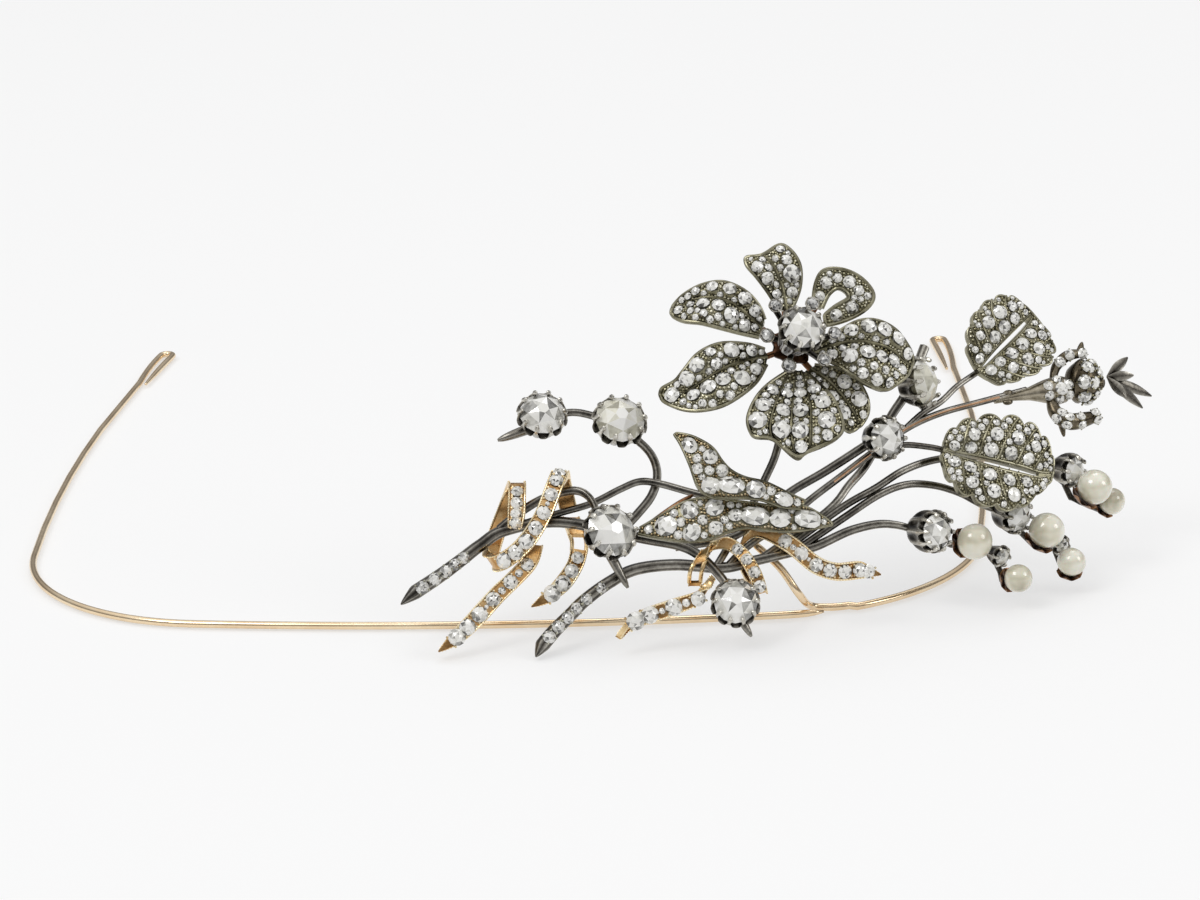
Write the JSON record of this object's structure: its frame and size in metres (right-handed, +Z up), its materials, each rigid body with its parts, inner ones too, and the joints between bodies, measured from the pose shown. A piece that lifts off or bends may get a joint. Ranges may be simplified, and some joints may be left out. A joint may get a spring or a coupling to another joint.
{
  "type": "jewelled diadem",
  "caption": "Open gold wire head band with end eyelets, carrying a leaning spray of a flower, leaves, a bud, ribbons, collet-set stones and pearls.",
  "frame": {"origin": "middle of the bounding box's footprint, on the surface that the band lies on", "axes": "+X to the wearer's left as seen from the front (the viewer's right), +Y towards the back of the head where the band opens, +Z up through the band's hoop"},
  "size_m": [0.1675, 0.146, 0.0507],
  "materials": {
    "gold_wire": "polished warm yellow gold wire, a little worn",
    "gold_ribbon": "yellow gold with raised edges and bead-set stones",
    "rose_gold": "reddish gold, seen behind the flower",
    "silver": "tarnished silver with an olive tint, pave-set",
    "dark_silver": "dark oxidised silver with bright worn edges",
    "diamond": "rose-cut, clear with white flashes",
    "pearl": "cream pearl with a soft sheen"
  },
  "bodies": {
    "root": {"wire_left": "gold_wire", "wire_right": "gold_wire", "ribbon_left_loop": "gold_ribbon", "ribbon_left_tail": "gold_ribbon", "ribbon_left_short": "gold_ribbon", "ribbon_left_stones": "diamond", "ribbon_right_loop": "gold_ribbon", "ribbon_right_tail": "gold_ribbon", "ribbon_right_upper": "gold_ribbon", "ribbon_right_stones": "diamond", "stems": "dark_silver", "stem_stones": "diamond", "petal_a": "silver", "petal_b": "silver", "petal_c": "silver", "petal_d": "silver", "petal_e": "silver", "petal_f": "silver", "petal_g": "silver", "petal_a_stones": "diamond", "petal_b_stones": "diamond", "petal_c_stones": "diamond", "petal_d_stones": "diamond", "petal_e_stones": "diamond", "petal_f_stones": "diamond", "petal_g_stones": "diamond", "flower_back": "rose_gold", "flower_collet": "dark_silver", "flower_stone": "diamond", "stamen_stones": "diamond", "leaf_upper": "silver", "leaf_upper_stones": "diamond", "leaf_lower": "silver", "leaf_lower_stones": "diamond", "curl_upper": "silver", "curl_upper_stones": "diamond", "curl_lower": "silver", "curl_lower_stones": "diamond", "bud_calyx": "silver", "bud_berry": "silver", "bud_tip": "silver", "bud_stones": "diamond", "stone_1": "diamond", "stone_2": "diamond", "stone_3": "diamond", "stone_4": "diamond", "stone_5": "diamond", "stone_6": "diamond", "stone_7": "diamond", "stone_8": "diamond", "stone_9": "diamond", "stone_10": "diamond", "stone_11": "diamond", "pearl_1": "pearl", "pearl_2": "pearl", "pearl_3": "pearl", "pearl_4": "pearl", "pearl_5": "pearl", "pearl_6": "pearl"}
  },
  "joints": []
}
